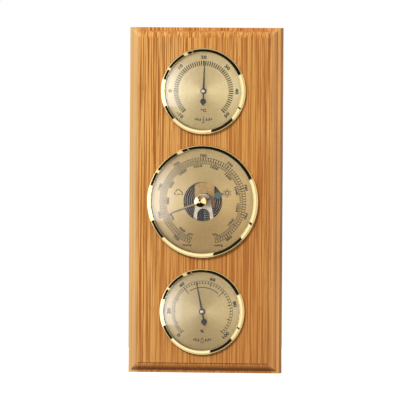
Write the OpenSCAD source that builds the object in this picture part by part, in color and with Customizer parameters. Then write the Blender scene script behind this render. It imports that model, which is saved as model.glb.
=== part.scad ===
// Wall weather station: a moulded oak board with a thermometer, an open-centre aneroid barometer and a hygrometer.
// X runs to the right, Z up, and the dials face -Y. The origin is the keyhole of the hanger, on the wall plane.

/* [Board] */
// How far the board reaches past the large bezel at each side
side_margin = 15; // [10:0.5:30]
// How far the board reaches past the outer bezels at its top and bottom
end_margin = 14.5; // [13:0.5:30]
// Gap between neighbouring bezels
dial_gap = 8; // [2:0.5:20]
// Thickness of the board
board_t = 18; // [16:0.5:24]
// How far the middle dial sits below the middle of the board
dial_drop = 0.8; // [0:0.1:2]
// Depth of the small step round the flat field
edge_step = 1.0; // [0.5:0.1:1.5]
// Width of the flat between the step and the round
edge_quirk = 0.6; // [0.2:0.1:1.5]
// Radius of the moulded round
edge_round = 4.6; // [3:0.1:6]
// Width of the flat outside the round
edge_fillet = 2.3; // [1:0.1:3.5]

/* [Hanger] */
// How far the keyhole sits below the top of the board
hang_drop = 12; // [10.5:0.5:13.5]
// Width of the hanger plate
hanger_w = 38; // [34:1:44]
// Height of the hanger plate
hanger_h = 13; // [12.5:0.1:13.5]
// Thickness of the hanger plate
hanger_t = 1.2; // [0.8:0.1:2]
// Radius of the keyhole's entry
keyhole_r = 3.5; // [3.2:0.1:3.8]
// Width of the keyhole's slot
keyhole_slot_w = 3.6; // [3:0.1:4]
// Travel from the entry to the end of the slot
keyhole_travel = 5.2; // [4:0.1:5.6]
// How far the entry sits below the middle of the plate
keyhole_low = 2; // [1.5:0.1:2.3]
// Depth of the pocket behind the keyhole
hanger_pocket = 7; // [5:0.5:9]
// Distance between the hanger screws
hanger_screw_span = 28; // [24:1:31]
// Radius of the hanger screws' heads
hanger_head_r = 2.6; // [2.2:0.1:3]
// Length of the hanger screws
hanger_screw_len = 11; // [8:1:14]

/* [Small dials] */
// Outer diameter of a small bezel
small_bezel_d = 65; // [56:0.5:80]
// Width of a small bezel's face, from its outer edge to its lip
small_face_w = 3.3; // [2.9:0.1:4.5]
// Height of a small bezel
small_bezel_h = 4.5; // [4:0.1:6]
// How far a small case's floor stays in front of the wall
small_back_gap = 5; // [3:0.5:6]
// Rise of a small glass's dome
small_glass_rise = 2.6; // [2:0.1:4]
// Turns of a thermometer or hygrometer coil
coil_turns = 5; // [3:1:6]
// Outer radius of a coil
coil_r = 9; // [8:0.5:12]
// Thickness of a coil's strip
coil_strip_t = 0.5; // [0.3:0.05:0.6]
// Width of a coil's strip
coil_strip_w = 3.5; // [2.5:0.1:4]
// Length of a small pointer from its axis
small_pointer_len = 22.5; // [18:0.5:26]
// Distance of a small pointer's tail weight from its axis
small_tail = 7.7; // [6:0.1:9]
// Radius of a small pointer's tail weight
small_weight_r = 2.1; // [1.5:0.1:2.5]
// Temperature that the thermometer shows at rest, in degrees Celsius
thermo_reading = 20.4; // [-10:0.1:50]
// Angle of the hygrometer pointer at rest, counter-clockwise from 3 o'clock
hygro_angle = 101.6; // [0:0.1:220]

/* [Barometer] */
// Outer diameter of the large bezel
large_bezel_d = 85; // [76:0.5:100]
// Width of the large bezel's face, from its outer edge to its lip
large_face_w = 3.4; // [3:0.1:4.5]
// Height of the large bezel
large_bezel_h = 5.2; // [4.6:0.1:6.5]
// How far the large case's floor stays in front of the wall
large_back_gap = 1.5; // [1:0.1:2]
// Radius of the opening in the large dial
dial_opening_r = 14.8; // [13:0.1:17]
// Rise of the large glass's dome
large_glass_rise = 3.4; // [3.2:0.1:5]
// Pressure that the pointer shows at rest, in hectopascal
baro_reading = 972; // [955:1:1070]
// Angle of the set hand, counter-clockwise from 3 o'clock
set_angle = 199.3; // [0:0.1:360]
// Length of the barometer pointer from its axis
baro_pointer_len = 30; // [24:0.5:33]
// Distance of the barometer pointer's tail weight from its axis
baro_tail = 12.5; // [10:0.1:13.5]
// Radius of the barometer pointer's tail weight
baro_weight_r = 2.4; // [1.5:0.1:3]
// Length of the set hand from its axis
set_hand_len = 29; // [22:0.5:30]
// Radius of the set knob
knob_r = 4.8; // [4:0.1:7]
// Height of the set knob's rim
knob_rim_h = 2.8; // [2:0.1:5]
// Height of the set knob's cone
knob_cone_h = 4.0; // [2:0.1:7]

/* [Movement] */
// Thickness of the base plate
base_t = 1.0; // [0.8:0.05:1.1]
// How far the bridge stays behind the front of the board
bridge_drop = 1.7; // [1.4:0.1:2]
// Width of the C-spring's leaf
spring_w = 15; // [12:0.5:18]
// Thickness of the C-spring's leaf
leaf_t = 1.0; // [0.7:0.05:1.1]
// Room for the spring screws between the capsule and the middle of the C-spring's bend
bend_gap = 4; // [3.8:0.1:5]
// How far each leg of the C-spring runs past the axis
spring_past = 4; // [3:0.5:6]
// Radius of the pressure capsule
capsule_r = 16.5; // [14:0.1:18.5]
// Thickness of the pressure capsule
capsule_h = 4.0; // [3:0.1:5]
// Pitch of the capsule's corrugations
corrugation = 1.6; // [1.2:0.1:2.5]
// Height of the capsule's corrugations
corrugation_h = 0.55; // [0.2:0.05:0.7]
// Width of the bridge over the axis
bridge_top_w = 11.5; // [9:0.5:13]
// Width of the bridge at its foot
bridge_foot_w = 20.5; // [20:0.5:24]
// Thickness of the bridge
bridge_t = 0.8; // [0.6:0.05:1]
// Width of the arch in the bridge
arch_w = 9.6; // [8.4:0.1:10]
// Distance from the axis to the top of the arch
arch_top = 5.4; // [4.5:0.1:6.5]
// Distance from the rocking shaft to the pillars of the bridge
pillar_gap = 4.5; // [4.2:0.1:6]
// Distance between the pillars of the bridge
pillar_span = 15; // [14:0.1:16]
// Distance from the capsule's edge to the rocking shaft
rocker_gap = 3.5; // [3:0.1:4]
// Length of the rocking shaft's chain arm
chain_arm = 4.8; // [4.5:0.1:4.9]
// Radius of the chain drum
drum_r = 0.6; // [0.56:0.01:0.7]
// Turns of the hairspring
hairspring_turns = 4; // [2:1:5]

/* [Fits] */
// How far a bezel's lip covers the edge of the glass
lip_cover = 0.65; // [0.5:0.05:0.8]
// Width of the cases' flanges on the board
flange_w = 1.1; // [0.9:0.1:1.3]
// How far the flanges reach past the glass
flange_past = 0.4; // [0.2:0.1:0.5]
// Radial clearance of a shaft that turns in its bearing
run_clear = 0.05; // [0.02:0.01:0.08]
// Radial clearance between pieces that are fixed to each other
seat_clear = 0.1; // [0.05:0.01:0.12]
// Radial thickness of the rubber grip bands
grip_t = 1.2; // [0.8:0.1:1.5]
// Sheet thickness of the cases
case_wall = 0.5; // [0.4:0.05:0.6]
// Thickness of the dial plates
dial_t = 0.5; // [0.3:0.05:0.6]
// Thickness of the glasses
glass_t = 1.4; // [1.2:0.1:1.5]
// Thickness of the bezels' lips over the glass
lip_t = 0.5; // [0.4:0.05:0.6]
// Thickness of the pointers
pointer_t = 0.25; // [0.15:0.05:0.3]

/* [Hidden] */

$fn = 96;
cut = 0.5;

board_w = large_bezel_d + 2 * side_margin;
board_h = large_bezel_d + 2 * (small_bezel_d + dial_gap + end_margin);
dial_pitch = (large_bezel_d + small_bezel_d) / 2 + dial_gap;
board_mid_z = hang_drop - board_h / 2;
baro_z = board_mid_z - dial_drop;
thermo_z = baro_z + dial_pitch;
hygro_z = baro_z - dial_pitch;

small_bezel_r = small_bezel_d / 2;
small_lip_r = small_bezel_r - small_face_w;
small_glass_r = small_lip_r + lip_cover;
small_dial_r = small_glass_r - seat_clear;
small_flange_r = small_glass_r + flange_past;
small_bore_r = small_flange_r - flange_w;
small_case_r = small_bore_r - seat_clear - grip_t;
small_case_depth = board_t - small_back_gap;
small_floor = -small_case_depth + case_wall;
large_bezel_r = large_bezel_d / 2;
large_lip_r = large_bezel_r - large_face_w;
large_glass_r = large_lip_r + lip_cover;
large_dial_r = large_glass_r - seat_clear;
large_flange_r = large_glass_r + flange_past;
large_bore_r = large_flange_r - flange_w;
large_case_r = large_bore_r - seat_clear - grip_t;
large_case_depth = board_t - large_back_gap;
large_floor = -large_case_depth + case_wall;
grip_front = 2;
grip_back = 3;

dial_front = case_wall + dial_t;
// The dome is higher under the lip than at the glass's edge, so the glass sits that much lower
small_glass_low = small_bezel_h - lip_t - glass_t - 2 * small_glass_rise * lip_cover / small_glass_r;
large_glass_low = large_bezel_h - lip_t - glass_t - 2 * large_glass_rise * lip_cover / large_glass_r;

arbor_r = 0.5;
arbor_hole_r = arbor_r + run_clear;
pointer_low = dial_front + 1.0;
small_arbor_top = pointer_low + pointer_t + 0.7;
bracket_t = 0.8;
bracket_w = 8;
bracket_len = 4 * coil_r;
boss_h = 2.2;
coil_low = small_floor + bracket_t + boss_h + 0.6;
coil_inner_r = 1.6;
rivet_r = 1.2;
rivet_head_r = 2.2;
rivet_head_t = 0.6;

bead_r = 0.8;
bead_step = 0.15;
lip_nose = 0.3;
lean_out = 42;
lean_in = 28;

plate_gap = 1.6;
lower_plate_t = 0.6;
lever_t = 0.7;
lever_gap = 0.6;
bridge_top = -bridge_drop;
bridge_low = bridge_top - bridge_t;
lower_plate_top = bridge_low - plate_gap;
lower_plate_low = lower_plate_top - lower_plate_t;
spring_top = lower_plate_low - lever_gap - lever_t;
base_r = large_case_r - case_wall - 1.25;
base_top = large_floor + base_t;
spring_h = spring_top - base_top;
spring_bend_y = capsule_r + bend_gap;
bend_z = base_top + spring_h / 2;
rocker_y = capsule_r + rocker_gap;
pillar_y = rocker_y + pillar_gap;
capsule_low = base_top + leaf_t + 0.3;
capsule_top = capsule_low + capsule_h;
stud_r = 1.2;
screw_r = 0.9;
screw_head_r = 1.7;
screw_head_t = 0.6;
pillar_r = 1.6;
spring_screw_span = 9;
spring_screw_y = spring_bend_y - screw_head_r - 0.3;
case_screw_in = 6;
case_screw_at = base_r - case_screw_in;
case_screw_r = 1.2;
case_screw_head_r = 2.3;
case_screw_head_t = 0.8;
adjust_y = 11;
adjust_r = 1.5;
adjust_head_r = 2.3;

chain_z = lower_plate_top + 0.3;
chain_r = 0.15;
rocker_r = 0.8;
rocker_z = chain_z - chain_arm;
rocker_half = 11;
rocker_post_t = 1.2;
rocker_post_w = 4.4;
arm_lean = 14;
arm_lean_y = chain_arm * tan(arm_lean);
crank_y = 2.55;
crank_z = 0.73;
crank_pin_r = 0.45;
lever_x = -3;
lever_w = 3.4;
lever_neck_y = 5.2;
nose_w = 1.6;
nose_low = rocker_z + crank_z + crank_pin_r + run_clear;
nose_y = rocker_y + crank_y;

needle_low = dial_front + 1.2;
set_hand_low = needle_low + pointer_t + 0.9;
spindle_r = 1.4;
bush_r = 2.6;
bush_flange_r = 3.8;
glass_top_z = large_glass_low + glass_t + large_glass_rise;
bush_top = glass_top_z + 0.5;
knob_low = bush_top + 0.3;
neck_h = 1.2;

thermo_angle = 180 - 4.5 * thermo_reading;
baro_angle = 90 - 2.7 * (baro_reading - 1013.25);

// Stands a piece, drawn face up, in front of the board at height z, facing -Y
module at_dial(z) {
    translate([0, -board_t, z]) rotate([90, 0, 0]) children();
}

function arc(cx, cy, rx, ry, from, to, steps) =
    [for (i = [0:steps]) let (a = from + (to - from) * i / steps) [cx + rx * cos(a), cy + ry * sin(a)]];

// Outline of a flat spiral strip that starts at angle 0
function spiral_r(a, r_in, r_out, turns) = r_in + (r_out - r_in) * a / (360 * turns);
function spiral_edge(r_in, r_out, turns, shift, step) =
    [for (a = [0:step:360 * turns])
        let (r = spiral_r(a, r_in, r_out, turns) + shift) [r * cos(a), r * sin(a)]];
function spiral_strip(r_in, r_out, turns, t, step) =
    concat(spiral_edge(r_in, r_out, turns, t / 2, step),
        [for (p = [len(spiral_edge(r_in, r_out, turns, 0, step)) - 1:-1:0])
            spiral_edge(r_in, r_out, turns, -t / 2, step)[p]]);

module ring(r_out, r_in, h) {
    difference() {
        cylinder(r = r_out, h = h);
        translate([0, 0, -cut]) cylinder(r = r_in, h = h + 2 * cut);
    }
}

// Section of the board across its moulded edges, back at 0 and front at -board_t
module board_section(span) {
    side_h = board_t - edge_step - edge_round;
    round_x = span / 2 - edge_fillet - edge_round;
    field = span - 2 * (edge_fillet + edge_round + edge_quirk);
    translate([-span / 2, -side_h]) square([span, side_h]);
    translate([-round_x, -side_h - edge_round]) square([2 * round_x, side_h + edge_round]);
    for (side = [-1, 1]) translate([side * round_x, -side_h]) circle(edge_round);
    translate([-field / 2, -board_t]) square([field, board_t]);
}

module keyhole_outline(r, slot_w, travel) {
    circle(r);
    translate([-slot_w / 2, 0]) square([slot_w, travel]);
    translate([0, travel]) circle(slot_w / 2);
}

// Lays a flat outline, drawn in X and Z, on the back of the board and cuts it depth deep
module from_back(depth) {
    rotate([90, 0, 0]) linear_extrude(depth) children();
}

module hanger_outline(grow) {
    r = hanger_h / 2 + grow;
    run = hanger_w / 2 - hanger_h / 2;
    translate([-run, -r]) square([2 * run, 2 * r]);
    for (side = [-1, 1]) translate([side * run, 0]) circle(r);
}

module board() {
    color("peru") difference() {
        translate([0, 0, board_mid_z]) intersection() {
            translate([0, 0, -board_h / 2]) linear_extrude(board_h) board_section(board_w);
            rotate([0, -90, 0]) translate([0, 0, -board_w / 2]) linear_extrude(board_w) board_section(board_h);
        }
        for (z = [thermo_z, hygro_z])
            translate([0, cut, z]) rotate([90, 0, 0]) cylinder(r = small_bore_r, h = board_t + 2 * cut);
        translate([0, cut, baro_z]) rotate([90, 0, 0]) cylinder(r = large_bore_r, h = board_t + 2 * cut);
        translate([0, cut, keyhole_low]) from_back(hanger_t + cut) hanger_outline(seat_clear);
        translate([0, cut, 0]) from_back(hanger_pocket + cut)
            keyhole_outline(keyhole_r + 0.6, 2 * keyhole_r, keyhole_travel - 0.6);
        for (side = [-1, 1])
            translate([side * hanger_screw_span / 2, 0, keyhole_low]) rotate([90, 0, 0])
                cylinder(r = screw_r + seat_clear, h = hanger_screw_len + 0.5);
    }
}

module hanger_plate() {
    color("goldenrod") difference() {
        translate([0, 0, keyhole_low]) from_back(hanger_t) hanger_outline(0);
        translate([0, cut, 0]) from_back(hanger_t + 2 * cut)
            keyhole_outline(keyhole_r, keyhole_slot_w, keyhole_travel);
        for (side = [-1, 1]) translate([side * hanger_screw_span / 2, 0, keyhole_low]) rotate([-90, 0, 0]) {
            translate([0, 0, -hanger_t - cut]) cylinder(r = screw_r + seat_clear, h = hanger_t + 2 * cut);
            countersunk_head(seat_clear);
        }
    }
}

// Cone of a hanger screw's head, flush with the back of the plate
module countersunk_head(grow) {
    head_h = hanger_t - 0.1;
    translate([0, 0, -head_h]) cylinder(r1 = screw_r + grow, r2 = hanger_head_r + grow, h = head_h);
}

// A slotted pan-head screw, head up at 0, with its shank below
module slotted_screw(head_r, head_t, shank_r, length) {
    difference() {
        union() {
            cylinder(r = head_r, h = head_t);
            translate([0, 0, -length]) cylinder(r = shank_r, h = length + cut / 2);
        }
        translate([-head_r - cut, -head_r / 8, head_t / 2]) cube([2 * (head_r + cut), head_r / 4, head_t]);
    }
}

module hanger_screws() {
    slot_w = hanger_head_r / 4;
    color("goldenrod") for (side = [-1, 1])
        translate([side * hanger_screw_span / 2, 0, keyhole_low]) rotate([-90, 0, 0]) difference() {
            union() {
                countersunk_head(0);
                translate([0, 0, -hanger_screw_len])
                    cylinder(r = screw_r, h = hanger_screw_len - hanger_t / 2);
            }
            translate([-hanger_head_r, -slot_w / 2, -hanger_t / 2])
                cube([2 * hanger_head_r, slot_w, hanger_t]);
        }
}

// Drawn cup with a flange that lies on the board
module case_cup(case_r, depth, flange_r) {
    difference() {
        union() {
            translate([0, 0, -depth]) cylinder(r = case_r, h = depth + case_wall);
            cylinder(r = flange_r, h = case_wall);
        }
        translate([0, 0, -depth + case_wall]) cylinder(r = case_r - case_wall, h = depth + cut);
    }
}

module small_case() {
    vent_r = 1.5;
    vent_ring = small_case_r * 0.72;
    difference() {
        case_cup(small_case_r, small_case_depth, small_flange_r);
        for (i = [0:11]) rotate(i * 30) translate([vent_ring, 0, -small_case_depth - cut])
            cylinder(r = vent_r, h = case_wall + 2 * cut, $fn = 32);
        for (side = [-1, 1]) translate([side * bracket_len * 0.36, 0, -small_case_depth - cut])
            cylinder(r = rivet_r + seat_clear, h = case_wall + 2 * cut);
    }
}

module grip_band(case_r, depth) {
    translate([0, 0, -depth + grip_back]) ring(case_r + grip_t, case_r + 0.02, depth - grip_back - grip_front);
}

// Pressed brass bezel: plain wall, round bead, bowed bright face that leans in, lip turned in over the glass
module bezel(r, lip_r, h, flange_r, glass_r) {
    face_out = r - bead_r - bead_step;
    face_in = lip_r + lip_nose * (1 + sin(lean_in));
    face_top = h - lip_nose * (1 - cos(lean_in));
    bow = (face_out - face_in) / (sin(lean_out) - sin(lean_in));
    face_foot = face_top - bow * (cos(lean_in) - cos(lean_out));
    rotate_extrude($fn = 180) polygon(concat(
        [[flange_r + seat_clear, 0], [r - bead_step, 0], [r, bead_step]],
        arc(r - bead_r, face_foot - bead_r, bead_r, bead_r, 0, 90, 6),
        arc(face_in - bow * sin(lean_in), face_top - bow * cos(lean_in), bow, bow, 90 - lean_out, 90 - lean_in, 6),
        arc(lip_r + lip_nose, h - lip_nose, lip_nose, lip_nose, 90 - lean_in, 180, 5),
        [[lip_r, h - lip_t], [glass_r + seat_clear, h - lip_t], [glass_r + seat_clear, case_wall + seat_clear],
            [flange_r + seat_clear, case_wall + seat_clear]]));
}

// Watch glass with a flat seat edge and, where it needs one, a hole in the middle: a shell between two spheres
module dome_glass(glass_r, low, rise, hole_r) {
    sphere_r = (glass_r * glass_r + rise * rise) / (2 * rise);
    seat_drop = 0.2;
    rotate_extrude($fn = 120) intersection() {
        translate([hole_r, low]) square([glass_r - hole_r, glass_t + rise + cut]);
        difference() {
            translate([0, low + glass_t + rise - sphere_r]) circle(sphere_r, $fn = 1440);
            translate([0, low + rise - seat_drop - sphere_r]) circle(sphere_r, $fn = 1440);
        }
    }
}

module spacer(glass_r, glass_low) {
    translate([0, 0, dial_front]) ring(glass_r - 0.1, glass_r - 0.9, glass_low - dial_front);
}

module plain_dial(r, hole_r) {
    translate([0, 0, case_wall]) ring(r, hole_r, dial_t);
}

// Bracket riveted to the floor of a small case: rear bearing in a boss, and the post that holds the coil
module small_bracket() {
    floor_z = small_floor;
    difference() {
        union() {
            translate([-bracket_len / 2, -bracket_w / 2, floor_z]) cube([bracket_len, bracket_w, bracket_t]);
            translate([0, 0, floor_z]) cylinder(r = 2.4, h = bracket_t + boss_h);
            translate([coil_r + coil_strip_t, -1.5, floor_z + bracket_t / 2])
                cube([1.2, 3, coil_low + coil_strip_w - floor_z - bracket_t / 2]);
        }
        translate([0, 0, floor_z + bracket_t]) cylinder(r = arbor_hole_r, h = boss_h + cut);
        for (side = [-1, 1]) translate([side * bracket_len * 0.36, 0, floor_z - cut])
            cylinder(r = rivet_r + seat_clear, h = bracket_t + 2 * cut);
    }
}

module small_rivets() {
    for (side = [-1, 1]) translate([side * bracket_len * 0.36, 0, 0]) {
        translate([0, 0, -small_case_depth - rivet_head_t]) cylinder(r = rivet_head_r, h = rivet_head_t);
        translate([0, 0, -small_case_depth - rivet_head_t / 2])
            cylinder(r = rivet_r, h = case_wall + bracket_t + rivet_head_t);
        translate([0, 0, small_floor + bracket_t]) cylinder(r = rivet_head_r * 0.8, h = rivet_head_t);
    }
}

module small_coil() {
    translate([0, 0, coil_low]) linear_extrude(coil_strip_w)
        polygon(spiral_strip(coil_inner_r + coil_strip_t / 2 + 0.1, coil_r + coil_strip_t / 2 - 0.02,
            coil_turns, coil_strip_t, 15));
}

module small_arbor() {
    translate([0, 0, small_floor + bracket_t + 0.1])
        cylinder(r = arbor_r, h = small_arbor_top - small_floor - bracket_t - 0.1);
    translate([0, 0, coil_low - 0.2]) cylinder(r = coil_inner_r, h = coil_strip_w + 0.4);
}

// Pointer blade along +X with a pierced hub, a slim tail and a drop-shaped weight
module drop_pointer() {
    tail_w = 0.7;
    root_w = 1.1;
    point_w = 0.24;
    drop_at = 63;
    drop_len = 1.55;
    difference() {
        union() {
            polygon([[0, -root_w / 2], [small_pointer_len, -point_w / 2], [small_pointer_len, point_w / 2],
                [0, root_w / 2]]);
            circle(2.2);
            translate([-small_tail, -tail_w / 2]) square([small_tail, tail_w]);
            translate([-small_tail, 0]) circle(small_weight_r);
            translate([-small_tail, 0]) polygon(small_weight_r * [[-cos(drop_at), sin(drop_at)], [-drop_len, 0],
                [-cos(drop_at), -sin(drop_at)]]);
        }
        circle(arbor_r + 0.02);
    }
}

module small_pointer(angle) {
    rotate(angle) translate([0, 0, pointer_low]) linear_extrude(pointer_t) drop_pointer();
}

module small_hub() {
    hub_low = pointer_low + pointer_t;
    translate([0, 0, hub_low]) difference() {
        rotate_extrude() polygon([[0, 0], [1.5, 0], [1.5, 0.35], [1.1, 0.8], [0.4, 1.0], [0, 1.0]]);
        translate([0, 0, -cut]) cylinder(r = arbor_r + 0.02, h = small_arbor_top - hub_low + cut);
    }
}

module thermo_case() { color("dimgray") at_dial(thermo_z) small_case(); }
module thermo_grip_band() { color("#222222") at_dial(thermo_z) grip_band(small_case_r, small_case_depth); }
module thermo_bezel() {
    color("gold") at_dial(thermo_z)
        bezel(small_bezel_r, small_lip_r, small_bezel_h, small_flange_r, small_glass_r);
}
module thermo_glass() {
    color("lightcyan", 0.3) at_dial(thermo_z) dome_glass(small_glass_r, small_glass_low, small_glass_rise, 0);
}
module thermo_spacer() { color("gold") at_dial(thermo_z) spacer(small_glass_r, small_glass_low); }
module thermo_dial() { color("khaki") at_dial(thermo_z) plain_dial(small_dial_r, arbor_hole_r); }
module thermo_bracket() { color("silver") at_dial(thermo_z) small_bracket(); }
module thermo_rivets() { color("silver") at_dial(thermo_z) small_rivets(); }
module thermo_coil() { color("darkgoldenrod") at_dial(thermo_z) small_coil(); }
module thermo_arbor() { color("silver") at_dial(thermo_z) small_arbor(); }
module thermo_pointer() { color("#20242c") at_dial(thermo_z) small_pointer(thermo_angle); }
module thermo_hub() { color("gold") at_dial(thermo_z) small_hub(); }

module hygro_case() { color("dimgray") at_dial(hygro_z) small_case(); }
module hygro_grip_band() { color("#222222") at_dial(hygro_z) grip_band(small_case_r, small_case_depth); }
module hygro_bezel() {
    color("gold") at_dial(hygro_z)
        bezel(small_bezel_r, small_lip_r, small_bezel_h, small_flange_r, small_glass_r);
}
module hygro_glass() {
    color("lightcyan", 0.3) at_dial(hygro_z) dome_glass(small_glass_r, small_glass_low, small_glass_rise, 0);
}
module hygro_spacer() { color("gold") at_dial(hygro_z) spacer(small_glass_r, small_glass_low); }
module hygro_dial() { color("khaki") at_dial(hygro_z) plain_dial(small_dial_r, arbor_hole_r); }
module hygro_bracket() { color("silver") at_dial(hygro_z) small_bracket(); }
module hygro_rivets() { color("silver") at_dial(hygro_z) small_rivets(); }
module hygro_coil() { color("tan") at_dial(hygro_z) small_coil(); }
module hygro_arbor() { color("silver") at_dial(hygro_z) small_arbor(); }
module hygro_pointer() { color("#20242c") at_dial(hygro_z) small_pointer(hygro_angle); }
module hygro_hub() { color("gold") at_dial(hygro_z) small_hub(); }

module baro_case() {
    color("dimgray") at_dial(baro_z) difference() {
        case_cup(large_case_r, large_case_depth, large_flange_r);
        at_case_screws() translate([0, 0, -large_case_depth - cut])
            cylinder(r = case_screw_r + seat_clear, h = case_wall + 2 * cut);
        translate([0, adjust_y, -large_case_depth - cut])
            cylinder(r = adjust_head_r + seat_clear, h = case_wall + 2 * cut);
    }
}

module at_case_screws() {
    for (a = [90, 210, 330]) rotate(a) translate([case_screw_at, 0, 0]) children();
}

module baro_grip_band() { color("#222222") at_dial(baro_z) grip_band(large_case_r, large_case_depth); }
module baro_bezel() {
    color("gold") at_dial(baro_z)
        bezel(large_bezel_r, large_lip_r, large_bezel_h, large_flange_r, large_glass_r);
}

module baro_glass() {
    color("lightcyan", 0.3) at_dial(baro_z)
        dome_glass(large_glass_r, large_glass_low, large_glass_rise, bush_r + seat_clear);
}

module baro_spacer() { color("gold") at_dial(baro_z) spacer(large_glass_r, large_glass_low); }
module baro_dial() { color("khaki") at_dial(baro_z) plain_dial(large_dial_r, dial_opening_r); }

module at_pillars() {
    for (side = [-1, 1]) translate([side * pillar_span / 2, -pillar_y, 0]) children();
}

module at_spring_screws() {
    for (side = [-1, 1]) translate([side * spring_screw_span / 2, spring_screw_y, 0]) children();
}

module baro_base_plate() {
    hole_h = base_t + 2 * cut;
    color("darkgoldenrod") at_dial(baro_z) difference() {
        translate([0, 0, large_floor]) cylinder(r = base_r, h = base_t);
        translate([0, 0, large_floor - cut]) {
            at_case_screws() cylinder(r = case_screw_r + seat_clear, h = hole_h);
            at_spring_screws() cylinder(r = screw_r + seat_clear, h = hole_h);
            cylinder(r = stud_r + seat_clear, h = hole_h);
            translate([0, adjust_y, 0]) cylinder(r = adjust_r + run_clear, h = hole_h);
        }
    }
}

module baro_case_screws() {
    color("silver") at_dial(baro_z) at_case_screws() translate([0, 0, -large_case_depth]) mirror([0, 0, 1])
        slotted_screw(case_screw_head_r, case_screw_head_t, case_screw_r, case_wall + base_t + 0.4);
}

// Slotted screw that tilts the spring's lower leg, turned from behind
module baro_adjusting_screw() {
    color("goldenrod") at_dial(baro_z) translate([0, adjust_y, large_floor]) mirror([0, 0, 1])
        slotted_screw(adjust_head_r, case_wall, adjust_r, base_t - 0.02);
}

// Leaf spring bent to a C round the edge of the capsule, its legs along the dial's 12 to 6 o'clock line
module spring_side() {
    bend_out = spring_h / 2;
    difference() {
        translate([spring_bend_y, bend_z]) circle(bend_out);
        translate([spring_bend_y, bend_z]) circle(bend_out - leaf_t);
        translate([spring_bend_y - 2 * bend_out, bend_z - 2 * bend_out]) square([2 * bend_out, 4 * bend_out]);
    }
    for (z = [base_top, spring_top - leaf_t])
        translate([-spring_past, z]) square([spring_bend_y + spring_past, leaf_t]);
}

module baro_spring() {
    color("#c8a050") at_dial(baro_z) difference() {
        rotate([90, 0, 90]) translate([0, 0, -spring_w / 2]) linear_extrude(spring_w) spring_side();
        translate([0, 0, base_top - cut]) cylinder(r = stud_r + seat_clear, h = spring_h + 2 * cut);
        at_spring_screws() translate([0, 0, base_top - cut])
            cylinder(r = screw_r + seat_clear, h = leaf_t + 2 * cut);
    }
}

module baro_spring_screws() {
    color("silver") at_dial(baro_z) at_spring_screws() translate([0, 0, base_top + leaf_t])
        slotted_screw(screw_head_r, screw_head_t, screw_r, leaf_t + base_t - 0.1);
}

// Evacuated capsule: two corrugated diaphragms on a rim, with a stud at each side
function diaphragm(inner_r, outer_r, z, up) =
    let (step = corrugation / 4, waves = floor((outer_r - inner_r) / corrugation), n = waves * 4)
    [for (i = [0:n]) [outer_r - i * step, z - up * corrugation_h / 2 * (1 - cos(90 * i))]];

module baro_capsule() {
    boss_r = 2.6;
    seam_t = 0.8;
    seam_in = 0.9;
    mid = (capsule_low + capsule_top) / 2;
    upper = diaphragm(boss_r + 0.3, capsule_r - seam_in, capsule_top, 1);
    lower = diaphragm(boss_r + 0.3, capsule_r - seam_in, capsule_low, -1);
    color("#b08d57") at_dial(baro_z) {
        rotate_extrude($fn = 120) polygon(concat(
            [[0, capsule_low], [boss_r, capsule_low]],
            [for (i = [len(lower) - 1:-1:0]) lower[i]],
            [[capsule_r - seam_in, mid - seam_t / 2], [capsule_r, mid - seam_t / 2],
                [capsule_r, mid + seam_t / 2], [capsule_r - seam_in, mid + seam_t / 2]],
            upper,
            [[boss_r, capsule_top], [0, capsule_top]]));
        translate([0, 0, capsule_top - cut])
            cylinder(r = boss_r, h = spring_top - leaf_t - capsule_top + cut);
        translate([0, 0, capsule_top]) cylinder(r = stud_r, h = spring_top - capsule_top);
        translate([0, 0, base_top + leaf_t]) cylinder(r = boss_r, h = capsule_low - base_top - leaf_t + cut);
        translate([0, 0, large_floor + 0.05]) cylinder(r = stud_r, h = capsule_low - large_floor);
    }
}

// Flat lever on the spring's upper leg, with a nose at its end that bears on the crank pin of the rocking shaft
module baro_lever() {
    half = lever_w / 2 + 1;
    end_y = nose_y + nose_w / 2 + 0.2;
    color("silver") at_dial(baro_z) {
        translate([0, 0, spring_top]) linear_extrude(lever_t)
            polygon([[-half, 6], [half, 6], [half, -spring_past + 1], [lever_x + 1, -lever_neck_y],
                [lever_x + 1, -end_y], [lever_x - 1, -end_y], [lever_x - 1, -lever_neck_y],
                [-half, -spring_past + 1]]);
        translate([lever_x - nose_w / 2, -nose_y - nose_w / 2, nose_low])
            cube([nose_w, nose_w, spring_top + lever_t / 2 - nose_low]);
    }
}

module baro_rocker_bracket() {
    inner = rocker_half - rocker_post_t;
    color("darkgoldenrod") at_dial(baro_z) difference() {
        union() {
            translate([-rocker_half, -rocker_y - rocker_post_w / 2, base_top])
                cube([2 * rocker_half, rocker_post_w, 0.8]);
            for (x = [-rocker_half, inner]) {
                translate([x, -rocker_y - rocker_post_w / 2, base_top])
                    cube([rocker_post_t, rocker_post_w, rocker_z - base_top]);
                translate([x, -rocker_y, rocker_z]) rotate([0, 90, 0])
                    cylinder(r = rocker_post_w / 2, h = rocker_post_t);
            }
        }
        translate([-rocker_half - cut, -rocker_y, rocker_z]) rotate([0, 90, 0])
            cylinder(r = rocker_r + run_clear, h = 2 * (rocker_half + cut));
    }
}

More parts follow.
